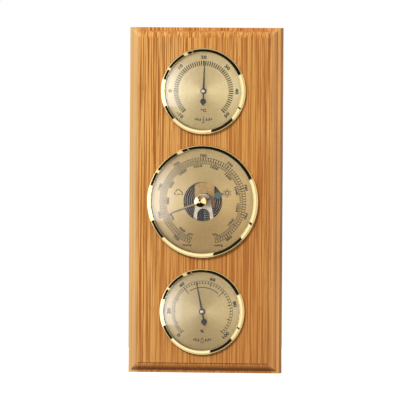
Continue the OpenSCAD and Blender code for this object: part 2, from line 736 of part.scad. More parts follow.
// Rocking shaft with a crank pin under the lever's nose and a long arm that pulls the chain
module baro_rocker() {
    arm_t = 0.8;
    crank_x = lever_x - nose_w / 2 - arm_t - 0.4;
    color("silver") at_dial(baro_z) translate([0, -rocker_y, rocker_z]) {
        translate([-rocker_half, 0, 0]) rotate([0, 90, 0]) cylinder(r = rocker_r, h = 2 * rocker_half);
        translate([crank_x, 0, 0]) rotate([180 - atan2(crank_z, crank_y), 0, 0])
            translate([0, 0, -arm_t / 2]) cube([arm_t, norm([crank_y, crank_z]), arm_t]);
        translate([crank_x, -crank_y, crank_z]) rotate([0, 90, 0])
            cylinder(r = crank_pin_r, h = lever_x + nose_w / 2 - crank_x);
        rotate([-arm_lean, 0, 0]) translate([0, -arm_t / 2, 0])
            cube([2 * drum_r, arm_t, norm([chain_arm, arm_lean_y]) + 0.3]);
    }
}

// Fine chain, drawn straight, from the rocking shaft's arm to the drum
module baro_chain() {
    color("gray") at_dial(baro_z) translate([drum_r + chain_r + 0.03, 0, chain_z])
        rotate([90, 0, 0]) cylinder(r = chain_r, h = rocker_y - arm_lean_y - 0.5, $fn = 16);
}

module baro_pillars() {
    color("goldenrod") at_dial(baro_z) at_pillars() difference() {
        translate([0, 0, base_top]) cylinder(r = pillar_r, h = lower_plate_low - base_top);
        translate([0, 0, lower_plate_low - 4]) cylinder(r = screw_r + seat_clear, h = 4 + cut);
    }
}

// A-shaped plate from the pillars to the axis, with an arch between its legs
module bridge_plate(t, opening_top) {
    foot_y = pillar_y + 3;
    half_top = bridge_top_w / 2;
    half_foot = bridge_foot_w / 2;
    opening_r = arch_w / 2;
    opening_foot = pillar_y - 2.2;
    hole_h = t + 2 * cut;
    difference() {
        union() {
            cylinder(r = half_top, h = t);
            linear_extrude(t) polygon([[-half_top + 0.3, 1], [half_top - 0.3, 1],
                [half_foot, -foot_y], [-half_foot, -foot_y]]);
        }
        translate([0, 0, -cut]) {
            translate([0, -opening_top - opening_r, 0]) cylinder(r = opening_r, h = hole_h);
            linear_extrude(hole_h)
                polygon([[-opening_r, -opening_top - opening_r], [opening_r, -opening_top - opening_r],
                    [opening_r + 0.8, -opening_foot], [-opening_r - 0.8, -opening_foot]]);
            cylinder(r = arbor_hole_r, h = hole_h);
            at_pillars() cylinder(r = screw_r + seat_clear, h = hole_h);
        }
    }
}

// Plate under the bridge, with the pin that holds the outer end of the hairspring
module baro_lower_plate() {
    color("goldenrod") at_dial(baro_z) {
        translate([0, 0, lower_plate_low]) bridge_plate(lower_plate_t, arch_top - 1.5);
        translate([0, 4.9, lower_plate_low + lower_plate_t / 2]) cylinder(r = 0.5, h = 1.8, $fn = 24);
    }
}

module baro_plate_spacers() {
    color("goldenrod") at_dial(baro_z) at_pillars() translate([0, 0, lower_plate_top])
        ring(pillar_r, screw_r + seat_clear, bridge_low - lower_plate_top);
}

module baro_bridge() {
    color("#d8cba8") at_dial(baro_z) translate([0, 0, bridge_low]) bridge_plate(bridge_t, arch_top);
}

module baro_bridge_screws() {
    color("silver") at_dial(baro_z) at_pillars() translate([0, 0, bridge_top])
        slotted_screw(screw_head_r, screw_head_t, screw_r, bridge_top - lower_plate_low + 3);
}

module baro_hairspring() {
    color("steelblue") at_dial(baro_z) translate([0, 0, lower_plate_top + 0.75]) linear_extrude(0.4)
        rotate(90) polygon(spiral_strip(1.2, 4.2, hairspring_turns, 0.16, 15));
}

module baro_arbor() {
    color("silver") at_dial(baro_z) {
        translate([0, 0, lower_plate_low + 0.05])
            cylinder(r = arbor_r, h = needle_low + pointer_t + 0.3 - lower_plate_low);
        translate([0, 0, lower_plate_top + 0.1]) cylinder(r = drum_r, h = 0.5);
        translate([0, 0, lower_plate_top + 0.65]) cylinder(r = 1.0, h = 0.6);
    }
}

module baro_pointer() {
    tail_w = 0.9;
    tail_past = 1.6;
    color("#3a5a70") at_dial(baro_z) rotate(baro_angle) translate([0, 0, needle_low])
        linear_extrude(pointer_t) difference() {
            union() {
                polygon([[0, -0.6], [baro_pointer_len, -0.12], [baro_pointer_len, 0.12], [0, 0.6]]);
                circle(2.4);
                translate([-baro_tail - baro_weight_r - tail_past, -tail_w / 2])
                    square([baro_tail + baro_weight_r + tail_past, tail_w]);
                translate([-baro_tail, 0]) circle(baro_weight_r);
            }
            circle(arbor_r + 0.02);
        }
}

module baro_set_hand() {
    color("goldenrod") at_dial(baro_z) {
        rotate(set_angle) translate([0, 0, set_hand_low]) linear_extrude(pointer_t) union() {
            polygon([[0, -0.6], [set_hand_len, -0.15], [set_hand_len, 0.15], [0, 0.6]]);
            circle(2.2);
        }
        translate([0, 0, set_hand_low]) cylinder(r = 2.2, h = 1.0);
    }
}

module baro_set_bush() {
    color("gold") at_dial(baro_z) difference() {
        union() {
            translate([0, 0, glass_top_z - glass_t]) cylinder(r = bush_r, h = glass_t + 0.2);
            translate([0, 0, glass_top_z]) cylinder(r = bush_flange_r, h = bush_top - glass_top_z);
        }
        translate([0, 0, glass_top_z - glass_t - cut])
            cylinder(r = spindle_r + run_clear, h = glass_t + 2 * cut + 1);
    }
}

// Turned knob with a knurled rim and a pointed face, on the spindle that carries the set hand
module baro_set_knob() {
    spindle_low = set_hand_low + 1.0;
    rim_low = knob_low + neck_h;
    rim_top = rim_low + knob_rim_h;
    color("gold") at_dial(baro_z) {
        translate([0, 0, spindle_low]) cylinder(r = spindle_r, h = rim_low - spindle_low + 0.5);
        rotate_extrude() polygon(concat(
            [[0, knob_low], [2.4, knob_low], [2.4, rim_low], [knob_r - 0.3, rim_low],
                [knob_r, rim_low + 0.3], [knob_r, rim_top - 0.2], [knob_r - 0.3, rim_top]],
            [for (i = [1:6]) let (u = i / 6)
                [(knob_r - 0.3) * (1 - u), rim_top + knob_cone_h * pow(u, 1.15)]]));
    }
}

board();
hanger_plate();
hanger_screws();
thermo_case();
thermo_grip_band();
thermo_bezel();
thermo_glass();
thermo_spacer();
thermo_dial();
thermo_bracket();
thermo_rivets();
thermo_coil();
thermo_arbor();
thermo_pointer();
thermo_hub();
hygro_case();
hygro_grip_band();
hygro_bezel();
hygro_glass();
hygro_spacer();
hygro_dial();
hygro_bracket();
hygro_rivets();
hygro_coil();
hygro_arbor();
hygro_pointer();
hygro_hub();
baro_case();
baro_grip_band();
baro_bezel();
baro_glass();
baro_spacer();
baro_dial();
baro_base_plate();
baro_case_screws();
baro_adjusting_screw();
baro_spring();
baro_spring_screws();
baro_capsule();
baro_lever();
baro_rocker_bracket();
baro_rocker();
baro_chain();
baro_pillars();
baro_lower_plate();
baro_plate_spacers();
baro_bridge();
baro_bridge_screws();
baro_hairspring();
baro_arbor();
baro_pointer();
baro_set_hand();
baro_set_bush();
baro_set_knob();
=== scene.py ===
# Weather station: a moulded oak board with a thermometer, a barometer with an open movement and a hygrometer.
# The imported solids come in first, in metres, with X to the right and Z up. The board's front looks along -Y,
# its back lies at Y = 0, and the three dials stand one above the other on the line X = 0.
import math
import bmesh
import bpy
from mathutils import Matrix, Vector


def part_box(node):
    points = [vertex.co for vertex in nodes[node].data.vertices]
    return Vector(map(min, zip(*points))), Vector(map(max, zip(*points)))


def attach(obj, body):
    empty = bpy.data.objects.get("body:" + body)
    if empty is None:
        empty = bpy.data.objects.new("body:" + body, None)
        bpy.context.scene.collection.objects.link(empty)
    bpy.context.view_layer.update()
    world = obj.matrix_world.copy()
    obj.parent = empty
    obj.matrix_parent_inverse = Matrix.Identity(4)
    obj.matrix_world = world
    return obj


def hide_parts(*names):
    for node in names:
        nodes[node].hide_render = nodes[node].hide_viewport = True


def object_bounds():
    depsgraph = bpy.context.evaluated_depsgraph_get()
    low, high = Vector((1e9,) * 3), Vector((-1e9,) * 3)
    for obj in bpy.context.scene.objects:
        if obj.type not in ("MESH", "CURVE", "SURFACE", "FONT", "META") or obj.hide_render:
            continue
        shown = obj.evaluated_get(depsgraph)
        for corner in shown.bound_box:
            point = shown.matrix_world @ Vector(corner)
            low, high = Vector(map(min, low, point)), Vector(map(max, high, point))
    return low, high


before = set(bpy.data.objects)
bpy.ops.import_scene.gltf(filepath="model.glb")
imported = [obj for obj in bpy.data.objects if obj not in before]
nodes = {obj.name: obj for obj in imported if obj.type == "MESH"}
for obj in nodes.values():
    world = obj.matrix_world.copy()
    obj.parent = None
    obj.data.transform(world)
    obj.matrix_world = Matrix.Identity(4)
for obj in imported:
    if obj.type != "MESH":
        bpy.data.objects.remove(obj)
cad_low, cad_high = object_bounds()

# Camera: the photograph looks at the board from a little to the right of its middle line and almost level.
# The lens is long and stands well back, so the edges of the board stay parallel.
mm = 0.001
sight_turn = math.radians(10)
sight_lift = math.radians(1)
sight_roll = math.radians(0.35)
sight_distance = 9.0
sight_side = -5.55 * mm
sight_height = -118.1 * mm
towards_camera = Vector((
    math.sin(sight_turn) * math.cos(sight_lift),
    -math.cos(sight_turn) * math.cos(sight_lift),
    math.sin(sight_lift),
))
sight_point = Vector((
    sight_side * math.cos(sight_turn),
    sight_side * math.sin(sight_turn),
    sight_height,
))
camera = bpy.data.objects.new("camera", bpy.data.cameras.new("camera"))
camera.data.lens = 1074
camera.data.sensor_width = 36
camera.data.clip_start = 0.5
camera.location = sight_point + towards_camera * sight_distance
camera.rotation_mode = "QUATERNION"
camera.rotation_quaternion = (-towards_camera).to_track_quat("-Z", "Y")
camera.rotation_quaternion.rotate(Matrix.Rotation(sight_roll, 3, towards_camera))
bpy.context.scene.collection.objects.link(camera)
bpy.context.scene.camera = camera
bpy.context.scene.view_settings.view_transform = "Standard"

# Floor: a pale round table top that the lower edge of the board stands on.
# The camera sees it lifted towards white, and it still takes the board's shadow.
floor_radius = 0.62
floor_gap = 0.02 * mm
floor_lift = 0.55


def place(tree, kind, feeds=(), **settings):
    """Adds a node. Settings are its own properties; feeds pair an input with a value or another socket."""
    made = tree.nodes.new(kind)
    for key, value in settings.items():
        setattr(made, key, value)
    for socket, value in dict(feeds).items():
        if isinstance(value, bpy.types.NodeSocket):
            tree.links.new(value, made.inputs[socket])
        else:
            made.inputs[socket].default_value = value
    return made


def reckon(tree, operation, first, second=0.0, third=0.0):
    """One step of arithmetic on sockets or numbers."""
    return place(tree, "ShaderNodeMath", {0: first, 1: second, 2: third}, operation=operation).outputs[0]


def finish_of(name, plain):
    """A material of one Principled shader; plain values stand on its own sockets."""
    material = bpy.data.materials.new(name)
    material.use_nodes = True
    shader = material.node_tree.nodes["Principled BSDF"]
    for socket, value in plain.items():
        shader.inputs[socket].default_value = value
    return material, material.node_tree, shader


def wire(tree, shader, feeds):
    """Joins sockets of effects to sockets of the shader."""
    for socket, source in feeds.items():
        tree.links.new(source, shader.inputs[socket])


def object_of(name, shape, material, smooth_angle=None):
    """Makes an object from a bmesh and gives it its finish; edges sharper than the angle stay sharp."""
    mesh_data = bpy.data.meshes.new(name)
    shape.normal_update()
    shape.to_mesh(mesh_data)
    shape.free()
    mesh_data.materials.append(material)
    made = bpy.data.objects.new(name, mesh_data)
    bpy.context.scene.collection.objects.link(made)
    if smooth_angle is not None:
        mesh_data.shade_smooth()
        mesh_data.set_sharp_from_angle(angle=math.radians(smooth_angle))
    return made


floor_white, floor_tree, floor_shader = finish_of("floor_white", {
    "Base Color": (0.9, 0.9, 0.9, 1), "Roughness": 0.8, "Specular IOR Level": 0.1,
    "Emission Color": (1, 1, 1, 1)})
floor_rays = place(floor_tree, "ShaderNodeLightPath").outputs
floor_glow = reckon(floor_tree, "MULTIPLY", floor_rays["Is Camera Ray"], floor_lift)
wire(floor_tree, floor_shader, {"Emission Strength": floor_glow})
table_top = bmesh.new()
bmesh.ops.create_circle(table_top, cap_ends=True, segments=96, radius=floor_radius)
for corner in table_top.verts:
    corner.co.z = cad_low.z - floor_gap
floor = object_of("floor", table_top, floor_white)
floor.visible_glossy = False
floor.visible_diffuse = False

# Studio: white all round for the camera, and an even light for matt surfaces that is stronger from above.
# Polished metal and glass mirror the boxes and dark cards that stand round the board instead. They are told
# apart by facing, which is 1 straight out of the board, and by lean, which is turned a little to the left.
turn_of_lean = 0.2
# The cards that bezels and knob mirror. Each has an angle round the board, a level and a warmth.
card_span = 4.0
card_yellow = 0.06
card_warm = 0.22
bezel_tones = [
    (0.1, 1.25, 0.2), (28, 0.01, 0), (114, 0.4, 0.5), (116, 0.01, 0), (121, 1.0, 0.6), (127, 0.01, 0),
    (151, 1.25, 0.3), (154.5, 0.01, 0), (167, 2.7, 0), (197, 0.01, 0), (216, 1.25, 0.2), (271, 0.02, 0),
    (309, 1.25, 0.2), (328, 0.02, 0), (331, 1.25, 0.2)]
knob_tones = [(0.1, 1.3, 1), (60, 0.35, 1), (135, 2.7, 0), (205, 0.01, 0), (325, 1.3, 1)]
# What the dials mirror under their glasses: a plain light, with a fan of brighter light to each side.
fan_blur = 0.02
fan_edge = (0.3, 0.9)
fan_reach = (0.45, 0.7, 0.12, 1.0)
inside_plain = (0.54, 0.5, 0.48)
inside_fan = (1.5, 1.58, 1.98)
inside_reach = (0.4, 0.7, 0.5, 1.0)
# What faces the front: a plain light, with one bright soft box at the left.
box_side_edge = (-0.32, -0.5)
box_foot_edge = (-0.15, -0.13)
box_head_edge = (0.26, 0.1)
box_level = (7.6, 7.7, 8.3)
front_level = (0.6, 0.6, 0.6)
# The lights for steeper faces, each with the lean or facing at which the next one takes over.
low_level = (0.7, 0.66, 0.56)
low_edge = (0.03, 0.02)
band_middle = 0.34
band_fall = (0.04, 0.24, 1.08, 0.55)
olive_edge = (0.44, 0.58)
olive_level = (0.12, 0.1, 0.07)
band_edge = (0.125, 0.115)
rim_edge = (0.83, 0.87)
rim_level = (1.1, 1.0, 0.82)
card_edge = (0.61, 0.63)
# What matt surfaces take in, and what the camera sees behind everything.
even_fall = (-1.0, 1.0, 0.09, 0.81)
white = (1.0, 1.0, 1.0)
black = (0.0, 0.0, 0.0)
studio = bpy.data.worlds.new("studio")
bpy.context.scene.world = studio
studio.use_nodes = True
studio.cycles.sampling_method = "NONE"
sky = studio.node_tree
direction = place(sky, "ShaderNodeTexCoord").outputs["Generated"]
heading = place(sky, "ShaderNodeSeparateXYZ", {0: direction}).outputs
rays = place(sky, "ShaderNodeLightPath").outputs


def spread(tree, value, low, high, to_low=0.0, to_high=1.0):
    """Maps a value from one range to another and holds it there."""
    return place(
        tree, "ShaderNodeMapRange",
        {"Value": value, "From Min": low, "From Max": high, "To Min": to_low, "To Max": to_high}).outputs[0]


def blend_of(tree, share, first, second, kind="RGBA"):
    """Mixes two colours or vectors by a share."""
    return place(
        tree, "ShaderNodeMix", {"Factor": share, "A": first, "B": second}, data_type=kind).outputs["Result"]


def light_of(share, first, second):
    """The first light of the studio where the share is 0, the second where it is 1."""
    return blend_of(sky, share, first, second, "VECTOR")


def dimmed(light, level):
    """A light of the studio, times a level."""
    return place(sky, "ShaderNodeVectorMath", {0: light, "Scale": level}, operation="SCALE").outputs[0]


def cards_round(tones):
    """Cards that stand round the board: each tone gives an angle in degrees, and its level and warmth."""
    angle = reckon(sky, "ARCTAN2", heading["Z"], heading["X"])
    turn = reckon(sky, "FRACT", reckon(sky, "MULTIPLY", angle, 1 / math.tau))
    ramp = place(sky, "ShaderNodeValToRGB", {0: turn})
    ramp.color_ramp.interpolation = "CONSTANT"
    for degrees, level, warmth in tones:
        share = level / card_span
        stop = ramp.color_ramp.elements.new(degrees / 360)
        stop.color = (share, share * (1 - card_yellow * warmth), share * (1 - card_warm * warmth), 1)
    ramp.color_ramp.elements.remove(ramp.color_ramp.elements[0])
    ramp.color_ramp.elements.remove(ramp.color_ramp.elements[-1])
    return dimmed(ramp.outputs["Color"], card_span)


facing = reckon(sky, "MULTIPLY", heading["Y"], -1.0)
lean = reckon(sky, "SUBTRACT", facing, reckon(sky, "MULTIPLY", heading["X"], turn_of_lean))
sideways = reckon(sky, "MULTIPLY", heading["X"], heading["X"])
slant = reckon(sky, "ADD", sideways, reckon(sky, "MULTIPLY", heading["Z"], heading["Z"]))
fan = reckon(sky, "DIVIDE", sideways, reckon(sky, "ADD", slant, fan_blur))
fan_share = reckon(sky, "MULTIPLY", spread(sky, fan, *fan_edge), spread(sky, facing, *fan_reach))
inside_light = dimmed(light_of(fan_share, inside_plain, inside_fan), spread(sky, facing, *inside_reach))
box_height = reckon(
    sky, "MULTIPLY", spread(sky, heading["Z"], *box_foot_edge), spread(sky, heading["Z"], *box_head_edge))
box_share = reckon(sky, "MULTIPLY", spread(sky, heading["X"], *box_side_edge), box_height)
front_light = light_of(box_share, front_level, box_level)
low_light = light_of(spread(sky, lean, *low_edge), cards_round(knob_tones), low_level)
off_band = reckon(sky, "ABSOLUTE", reckon(sky, "SUBTRACT", lean, band_middle))
bezel_cards = dimmed(cards_round(bezel_tones), spread(sky, off_band, *band_fall))
olive_light = light_of(spread(sky, lean, *olive_edge), black, olive_level)
band_light = place(sky, "ShaderNodeVectorMath", {0: bezel_cards, 1: olive_light}, operation="ADD").outputs[0]
card_light = light_of(spread(sky, lean, *band_edge), band_light, low_light)
rim_light = light_of(spread(sky, facing, *rim_edge), rim_level, front_light)
outside_light = light_of(spread(sky, lean, *card_edge), card_light, rim_light)
behind_glass = reckon(sky, "GREATER_THAN", rays["Transmission Depth"], 0.5)
mirrored_light = light_of(behind_glass, outside_light, inside_light)
unscattered = reckon(sky, "LESS_THAN", rays["Diffuse Depth"], 0.5)
mirrored = reckon(sky, "MULTIPLY", rays["Is Glossy Ray"], unscattered)
even_level = spread(sky, heading["Z"], *even_fall)
even_light = place(sky, "ShaderNodeCombineXYZ", {0: even_level, 1: even_level, 2: even_level}).outputs[0]
lit = light_of(mirrored, even_light, mirrored_light)
seen = light_of(rays["Is Camera Ray"], lit, white)
sky.links.new(seen, sky.nodes["Background"].inputs["Color"])
soft_lamp = bpy.data.objects.new("soft_lamp", bpy.data.lights.new("soft_lamp", "SUN"))
soft_lamp.data.energy = 1.85
soft_lamp.data.angle = math.radians(16)
soft_lamp.data.color = (1.0, 0.97, 0.93)
soft_lamp.visible_glossy = False
soft_lamp.rotation_mode = "QUATERNION"
soft_lamp.rotation_quaternion = Vector((0.22, 1.0, -0.62)).to_track_quat("-Z", "Y")
bpy.context.scene.collection.objects.link(soft_lamp)


# Oak board: one piece of solid oak, moulded round its front edge and bored for the three cases.
# It is planed with the grain upright and closed with a thin satin lacquer. The sawn ends are plainer. Painted
# shade darkens the faces that look down and the lower right of the board, and painted light pales a strip
# along each side of the front.
def shade(red, green, blue):
    """A colour as it is written in a picture, 0 to 255, turned into linear light."""
    linear = [(c / 12.92) if c <= 0.04045 else ((c + 0.055) / 1.055) ** 2.4
              for c in (red / 255, green / 255, blue / 255)]
    return (*linear, 1)


oak_light = shade(244, 184, 104)
oak_plain = shade(210, 142, 66)
oak_red = shade(170, 98, 38)
oak_dark = shade(126, 68, 26)
oak_sawn = shade(196, 128, 62)
# The next four colours are painted: shade for faces that look down, light for the left side of the front,
# shade for the lower right and light for the right side of the front.
oak_painted_shade_below = shade(132, 64, 34)
oak_painted_light_left = shade(242, 202, 140)
oak_painted_shade_low = shade(172, 102, 48)
oak_painted_light_right = shade(244, 180, 112)
depth_grain = 0.3
fine_share = 0.38
front_from = 6 * mm
front_to = 12 * mm
# Widths of the painted light along the two sides of the front.
edge_light_full = 4.5 * mm
edge_light_left = 8.5 * mm
edge_light_right = 7 * mm
board_low, board_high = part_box("board")
board_side = board_high.x
oak, oak_tree, oak_shader = finish_of("oak", {"Roughness": 0.55, "Specular IOR Level": 0.25})
board_place = place(oak_tree, "ShaderNodeTexCoord").outputs["Object"]
board_at = place(oak_tree, "ShaderNodeSeparateXYZ", {0: board_place}).outputs


def streaks(across, along, detail, shift):
    """Noise that is stretched along the grain: across and along are streaks per metre."""
    stretched = place(
        oak_tree, "ShaderNodeMapping",
        {"Vector": board_place, "Location": shift, "Scale": (across, across * depth_grain, along)})
    return place(
        oak_tree, "ShaderNodeTexNoise",
        {"Vector": stretched.outputs[0], "Scale": 1.0, "Detail": detail, "Roughness": 0.55}).outputs["Fac"]


broad = streaks(45, 4, 2.0, (3.1, 0.4, 1.7))
middle = streaks(1450, 17, 0.0, (7.3, 2.2, 0.3))
fine = streaks(2100, 30, 1.0, (1.3, 5.2, 4.4))
pore = streaks(1900, 90, 1.0, (9.4, 8.2, 2.6))
grain = reckon(
    oak_tree, "ADD", reckon(oak_tree, "MULTIPLY", middle, 1 - fine_share),
    reckon(oak_tree, "MULTIPLY", fine, fine_share))
grain_share = spread(oak_tree, grain, 0.4, 0.6)
oak_colour = blend_of(oak_tree, grain_share, oak_red, oak_light)
oak_colour = blend_of(oak_tree, spread(oak_tree, broad, 0.35, 0.65, 0.05, 0.35), oak_colour, oak_plain)
oak_colour = blend_of(oak_tree, spread(oak_tree, pore, 0.62, 0.74, 0.0, 0.5), oak_colour, oak_dark)
board_normal = place(oak_tree, "ShaderNodeNewGeometry").outputs["Normal"]
slope = place(oak_tree, "ShaderNodeSeparateXYZ", {0: board_normal}).outputs["Z"]
sawn_share = spread(oak_tree, reckon(oak_tree, "ABSOLUTE", slope), 0.6, 0.95, 0.0, 0.65)
oak_colour = blend_of(oak_tree, sawn_share, oak_colour, oak_sawn)
# Painted shade: the colour darkens on faces that look down.
oak_colour = blend_of(oak_tree, spread(oak_tree, slope, -0.2, -0.7, 0.0, 0.7), oak_colour, oak_painted_shade_below)
# Painted light: the colour is paled along the left side of the front.
front_share = spread(oak_tree, board_at["Y"], -front_from, -front_to)
left_light_share = spread(oak_tree, board_at["X"], edge_light_left - board_side, edge_light_full - board_side, 0.0, 0.75)
left_light_share = reckon(oak_tree, "MULTIPLY", front_share, left_light_share)
oak_colour = blend_of(oak_tree, left_light_share, oak_colour, oak_painted_light_left)
# Painted shade: the colour darkens towards the right side and the foot of the board.
painted_shade_place = reckon(oak_tree, "ADD", board_at["X"], reckon(oak_tree, "MULTIPLY", board_at["Z"], -0.5))
oak_colour = blend_of(oak_tree, spread(oak_tree, painted_shade_place, 0.0, 0.18, 0.0, 0.55), oak_colour, oak_painted_shade_low)
# Painted light: the colour is paled along the right side of the front.
right_light_share = spread(oak_tree, board_at["X"], board_side - edge_light_right, board_side - edge_light_full, 0.0, 0.5)
right_light_share = reckon(oak_tree, "MULTIPLY", front_share, right_light_share)
oak_colour = blend_of(oak_tree, right_light_share, oak_colour, oak_painted_light_right)
oak_bump = place(oak_tree, "ShaderNodeBump", {"Height": grain_share, "Strength": 0.12, "Distance": 0.2 * mm})
wire(oak_tree, oak_shader, {"Base Color": oak_colour, "Normal": oak_bump.outputs[0]})


def dress(finish, *names):
    """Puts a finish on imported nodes, which keep their place and shape."""
    for name in names:
        for holder in nodes[name].material_slots:
            holder.material = finish


dress(oak, "board")


# Hanger: a nickelled steel plate with a keyhole, let into the back of the board with two countersunk screws.
# It is pressed from sheet. Its finish, like that of all the metal here, drifts a little in colour and polish.
def effect_group(name, inputs, outputs):
    """A shader node group with named colour, number or vector sockets."""
    group = bpy.data.node_groups.new(name, "ShaderNodeTree")
    for label, kind, value in inputs:
        socket = group.interface.new_socket(name=label, in_out="INPUT", socket_type="NodeSocket" + kind)
        socket.default_value = value
    for label, kind in outputs:
        group.interface.new_socket(name=label, in_out="OUTPUT", socket_type="NodeSocket" + kind)
    return group, place(group, "NodeGroupInput"), place(group, "NodeGroupOutput")


metal_wear, wear_in, wear_out = effect_group(
    "metal_wear",
    [("Light", "Color", (0.8, 0.8, 0.8, 1)), ("Dark", "Color", (0.6, 0.6, 0.6, 1)), ("Spots", "Float", 900.0),
     ("Smooth", "Float", 0.2), ("Rough", "Float", 0.4)],
    [("Color", "Color"), ("Roughness", "Float")])
wear_edge = (0.35, 0.65)
wear_place = place(metal_wear, "ShaderNodeTexCoord").outputs["Object"]
wear_noise = place(
    metal_wear, "ShaderNodeTexNoise",
    {"Vector": wear_place, "Scale": wear_in.outputs["Spots"], "Detail": 4.0, "Roughness": 0.6}).outputs["Fac"]
wear_share = spread(metal_wear, wear_noise, *wear_edge)
wear_colour = blend_of(metal_wear, wear_share, wear_in.outputs["Light"], wear_in.outputs["Dark"])
wear_rough = spread(metal_wear, wear_noise, *wear_edge, wear_in.outputs["Smooth"], wear_in.outputs["Rough"])
wire(metal_wear, wear_out, {"Color": wear_colour, "Roughness": wear_rough})


def worn(tree, light, dark, smooth, rough, spots):
    """Places the wear of metal in a material; gives its colour and roughness."""
    values = {"Light": light, "Dark": dark, "Spots": spots, "Smooth": smooth, "Rough": rough}
    wear = place(tree, "ShaderNodeGroup", values, node_tree=metal_wear).outputs
    return wear["Color"], wear["Roughness"]


def worn_metal(name, light, dark, smooth, rough, spots=900.0):
    """A metal whose colour and roughness drift a little over the surface."""
    material, tree, shader = finish_of(name, {"Metallic": 1.0})
    colour, roughness = worn(tree, light, dark, smooth, rough, spots)
    wire(tree, shader, {"Base Color": colour, "Roughness": roughness})
    return material


steel = worn_metal("steel", shade(205, 205, 203), shade(170, 170, 168), 0.28, 0.42)
dress(steel, "hanger_plate", "hanger_screws")


# Bezels: rings turned and drawn from brass sheet, highly polished and lacquered.
# Each has a bead that stands on the wood, a bright bowed face that leans inwards, and a lip over the glass.
def to_micron(metres):
    """A place in the frame, to the nearest thousandth of a millimetre."""
    return round(metres / mm, 3) * mm


def middle_height(name):
    """The height of a node's middle."""
    low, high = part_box(name)
    return to_micron((low.z + high.z) / 2)


board_front = to_micron(board_low.y)
dials = ("thermo", "baro", "hygro")
dial_z = {dial: middle_height(dial + "_dial") for dial in dials}
thermo_z = dial_z["thermo"]
baro_z = dial_z["baro"]
hygro_z = dial_z["hygro"]


def dial_point(radius, degrees, height, centre_z):
    """A point over a dial, by radius in mm, angle in degrees and height in front of the board in mm."""
    angle = math.radians(degrees)
    return Vector((
        radius * math.cos(angle) * mm, board_front - height * mm, centre_z + radius * math.sin(angle) * mm))


def turned(profile, centre_z, steps=160):
    """Turns a closed profile of (radius, height in front of the board) round the axis of a dial."""
    shape = bmesh.new()
    rings = [
        [shape.verts.new(dial_point(r, 360 * step / steps, h, centre_z)) for r, h in profile]
        for step in range(steps)]
    count = len(profile)
    for here, there in zip(rings, rings[1:] + rings[:1]):
        for i in range(count):
            k = (i + 1) % count
            shape.faces.new((here[i], here[k], there[k], there[i]))
    bmesh.ops.recalc_face_normals(shape, faces=shape.faces)
    return shape


def arc_points(centre_r, centre_h, radius, from_degrees, to_degrees, steps):
    """Points of a circular arc in the section, from one angle to another."""
    angles = [math.radians(from_degrees + (to_degrees - from_degrees) * i / steps) for i in range(steps + 1)]
    return [(centre_r + radius * math.cos(a), centre_h + radius * math.sin(a)) for a in angles]


def bezel_profile(outer_r, lip_r, glass_r, flange_r, height):
    """The section of a bezel: a wall, a bead, a bright bowed face that leans inwards, and the lip."""
    bead = 0.8
    step = 0.12
    nose = 0.2
    lip = 0.5
    foot_h = 0.6
    play = 0.1
    lean_out = 42
    lean_in = 28
    sine_out = math.sin(math.radians(lean_out))
    cosine_out = math.cos(math.radians(lean_out))
    sine_in = math.sin(math.radians(lean_in))
    cosine_in = math.cos(math.radians(lean_in))
    face_out = outer_r - bead - step
    face_in = lip_r + nose * (1 + sine_in)
    face_top = height - nose * (1 - cosine_in)
    bow = (face_out - face_in) / (sine_out - sine_in)
    face_foot = face_top - bow * (cosine_in - cosine_out)
    return (
        [(outer_r - step, 0.0), (outer_r, step)]
        + arc_points(outer_r - bead, face_foot - bead, bead, 0, 90, 10)
        + arc_points(face_in - bow * sine_in, face_top - bow * cosine_in, bow, 90 - lean_out, 90 - lean_in, 8)
        + arc_points(lip_r + nose, height - nose, nose, 90 - lean_in, 180, 6)
        + [(lip_r, height - lip), (glass_r + play, height - lip), (glass_r + play, foot_h),
           (flange_r + play, foot_h), (flange_r + play, 0.0)])


def solid_piece(name, shape, material, body="station", smooth_angle=None):
    """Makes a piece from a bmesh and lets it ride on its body."""
    piece = object_of(name, shape, material, smooth_angle)
    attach(piece, body)
    return piece


brass_polished = worn_metal(
    "brass_polished", shade(246, 226, 172), shade(240, 216, 156), 0.03, 0.06, spots=60.0)
small_bezel = bezel_profile(outer_r=32.5, lip_r=29.2, glass_r=29.85, flange_r=30.25, height=4.5)
large_bezel = bezel_profile(outer_r=42.5, lip_r=39.1, glass_r=39.75, flange_r=40.15, height=5.2)
for dial, section in (("thermo", small_bezel), ("baro", large_bezel), ("hygro", small_bezel)):
    ring = solid_piece(
        dial + "_bezel_ring", turned(section, dial_z[dial]), brass_polished,
        smooth_angle=40)
    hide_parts(dial + "_bezel")

# Cases: cups drawn from thin steel and stoved black, each held in its bore by a ribbed band of rubber.
# A spacer ring of dulled brass inside keeps the dial down and the glass up.
mottle, mottle_in, mottle_out = effect_group(
    "mottle",
    [("First", "Color", (0.1, 0.1, 0.1, 1)), ("Second", "Color", (0.2, 0.2, 0.2, 1)),
     ("Spots", "Float", 900.0)],
    [("Color", "Color")])
mottle_place = place(mottle, "ShaderNodeTexCoord").outputs["Object"]
mottle_share = place(
    mottle, "ShaderNodeTexNoise",
    {"Vector": mottle_place, "Scale": mottle_in.outputs["Spots"]}).outputs["Fac"]
mottle_colour = blend_of(mottle, mottle_share, mottle_in.outputs["First"], mottle_in.outputs["Second"])
wire(mottle, mottle_out, {"Color": mottle_colour})


def mottled(name, first, second, spots, plain):
    """A material without metal, whose colour drifts between two tones in fine spots."""
    material, tree, shader = finish_of(name, plain)
    values = {"First": first, "Second": second, "Spots": spots}
    tones = place(tree, "ShaderNodeGroup", values, node_tree=mottle).outputs
    wire(tree, shader, {"Base Color": tones["Color"]})
    return material


